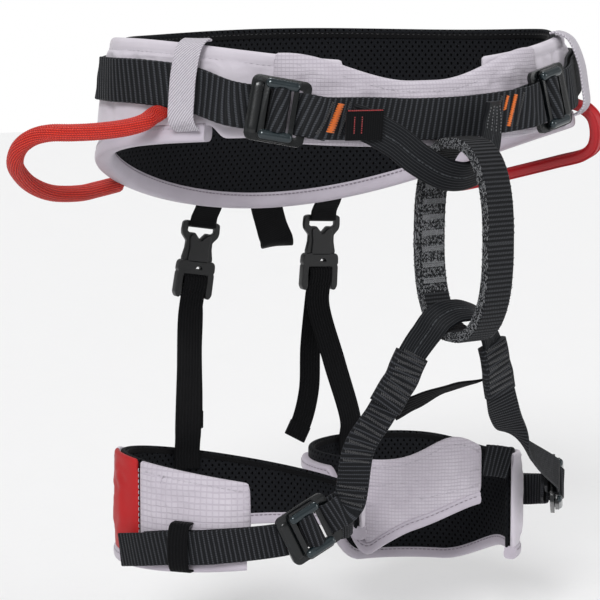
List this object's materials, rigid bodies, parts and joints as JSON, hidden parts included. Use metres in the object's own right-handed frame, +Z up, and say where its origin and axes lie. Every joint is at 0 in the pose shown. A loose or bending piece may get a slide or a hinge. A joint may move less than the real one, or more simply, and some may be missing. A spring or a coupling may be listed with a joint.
{
  "type": "climbing harness",
  "caption": "Climbing harness with a padded waist belt, strap buckles, belay loop, adjustable leg loops, elastic risers, gear loops and a rear haul loop.",
  "frame": {"origin": "on the wearer's waist axis, at the middle of the waist belt's height", "axes": "+Z up along the wearer's body, -Y the way the wearer faces, +X to the wearer's left; millimetre source, metres here"},
  "size_m": [0.362, 0.2729, 0.3372],
  "materials": {
    "lilac_fabric": "pale lilac ripstop and twill with stitched seams",
    "red_fabric": "red woven fabric",
    "black_webbing": "black ribbed polyamide webbing",
    "black_elastic": "black ribbed elastic",
    "tie_in_tape": "charcoal tubular tape with pale pinstripes",
    "spacer_mesh": "black perforated spacer mesh",
    "red_cord": "red braided sheath over a stiff core",
    "red_strip": "smooth red moulded strip",
    "buckle_metal": "dark teal-grey anodised aluminium",
    "clip_plastic": "black acetal"
  },
  "bodies": {
    "waist_belt": {"waist_pad_shell": "lilac_fabric", "waist_mesh_liner": "spacer_mesh", "waist_bottom_binding": "lilac_fabric", "waist_front_pad": "lilac_fabric", "right_waist_buckle_frame": "buckle_metal", "left_waist_buckle_frame": "buckle_metal", "waist_webbing": "black_webbing", "right_waist_webbing_tail": "black_webbing", "left_waist_webbing_tail": "black_webbing", "front_webbing": "black_webbing", "right_waist_keeper": "lilac_fabric", "left_waist_keeper": "lilac_fabric", "upper_tie_in_loop": "tie_in_tape", "indicator_label": "black_webbing", "lower_tie_in_loop": "tie_in_tape", "right_riser_hook": "clip_plastic", "right_riser_ladder_lock": "clip_plastic", "right_riser_top_strap": "black_webbing", "left_riser_hook": "clip_plastic", "left_riser_ladder_lock": "clip_plastic", "left_riser_top_strap": "black_webbing", "right_riser_elastic": "black_elastic", "left_riser_elastic": "black_elastic", "leg_bridge_elastic": "black_elastic"},
    "belay_ring": {"belay_loop": "black_webbing"},
    "right_leg": {"right_leg_mesh_liner": "spacer_mesh", "right_leg_binding": "lilac_fabric", "right_leg_front_panel": "lilac_fabric", "right_leg_side_panel": "red_fabric", "right_leg_back_panel": "lilac_fabric", "right_leg_buckle_frame": "buckle_metal", "right_leg_webbing": "black_webbing", "right_leg_webbing_tail": "black_webbing", "right_leg_keeper": "black_webbing", "right_front_strap": "black_webbing", "right_leg_inner_strap": "black_webbing"},
    "left_leg": {"left_leg_mesh_liner": "spacer_mesh", "left_leg_binding": "lilac_fabric", "left_leg_inner_panel": "lilac_fabric", "left_leg_outer_panel": "lilac_fabric", "left_leg_buckle_frame": "buckle_metal", "left_leg_webbing": "black_webbing", "left_leg_webbing_tail": "black_webbing", "left_leg_keeper": "black_webbing", "left_front_strap": "black_webbing", "left_leg_inner_strap": "black_webbing"},
    "right_waist_slider": {"right_waist_buckle_slider": "buckle_metal", "right_waist_webbing_turn": "black_webbing"},
    "left_waist_slider": {"left_waist_buckle_slider": "buckle_metal", "left_waist_webbing_turn": "black_webbing"},
    "right_leg_slider": {"right_leg_buckle_slider": "buckle_metal", "right_leg_webbing_turn": "black_webbing"},
    "left_leg_slider": {"left_leg_buckle_slider": "buckle_metal", "left_leg_webbing_turn": "black_webbing"},
    "right_gear": {"right_gear_loop": "red_cord"},
    "left_gear": {"left_gear_loop": "red_strip"},
    "haul": {"haul_loop": "black_webbing"},
    "right_tail": {"right_riser_tail": "black_elastic"},
    "left_tail": {"left_riser_tail": "black_elastic"}
  },
  "joints": [
    {"name": "belay_loop_turn", "type": "hinge", "parent": "waist_belt", "child": "belay_ring", "pos_m": [0.01, -0.118, -0.0722], "axis": [0, 0, 1], "range_deg": [-12, 12]},
    {"name": "right_leg_swing", "type": "hinge", "parent": "waist_belt", "child": "right_leg", "pos_m": [-0.0228, -0.1065, -0.15], "axis": [1, 0, 0], "range_deg": [-8, 12], "stiffness_Nm_per_rad": 6, "deforming": ["right_riser_elastic"]},
    {"name": "left_leg_swing", "type": "hinge", "parent": "waist_belt", "child": "left_leg", "pos_m": [0.0363, -0.112, -0.147], "axis": [1, 0, 0], "range_deg": [-8, 10], "stiffness_Nm_per_rad": 6, "deforming": ["left_riser_elastic"]},
    {"name": "right_waist_buckle_release", "type": "hinge", "parent": "waist_belt", "child": "right_waist_slider", "pos_m": [-0.09762, -0.08645, 0.00112], "axis": [-0.2105, -0.0467, -0.9765], "range_deg": [0, 18]},
    {"name": "right_leg_buckle_release", "type": "hinge", "parent": "right_leg", "child": "right_leg_slider", "pos_m": [-0.07371, -0.08168, -0.23754], "axis": [0.4527, -0.0341, -0.891], "range_deg": [0, 18]},
    {"name": "left_waist_buckle_release", "type": "hinge", "parent": "waist_belt", "child": "left_waist_slider", "pos_m": [0.09277, -0.08844, 0.00311], "axis": [-0.2077, 0.0532, 0.9767], "range_deg": [0, 18]},
    {"name": "left_leg_buckle_release", "type": "hinge", "parent": "left_leg", "child": "left_leg_slider", "pos_m": [0.1451, -0.01004, -0.24454], "axis": [0.2608, 0.3716, 0.891], "range_deg": [0, 18]},
    {"name": "right_gear_loop_flex", "type": "hinge", "parent": "waist_belt", "child": "right_gear", "pos_m": [-0.1395, -0.0415, -0.0065], "axis": [0.0729, 0.9215, -0.3815], "range_deg": [-8, 12], "stiffness_Nm_per_rad": 0.6},
    {"name": "left_gear_loop_flex", "type": "hinge", "parent": "waist_belt", "child": "left_gear", "pos_m": [0.139, -0.0445, -0.008], "axis": [-0.1338, 0.9061, -0.4014], "range_deg": [-12, 8], "stiffness_Nm_per_rad": 0.6},
    {"name": "haul_loop_swing", "type": "hinge", "parent": "waist_belt", "child": "haul", "pos_m": [0.007, 0.1114, -0.059], "axis": [1, 0, 0], "range_deg": [0, 35]},
    {"name": "right_riser_tail_swing", "type": "hinge", "parent": "waist_belt", "child": "right_tail", "pos_m": [-0.046, 0.1083, -0.125], "axis": [1, 0, 0], "range_deg": [0, 20]},
    {"name": "left_riser_tail_swing", "type": "hinge", "parent": "waist_belt", "child": "left_tail", "pos_m": [0.042, 0.1083, -0.125], "axis": [1, 0, 0], "range_deg": [0, 20]}
  ]
}
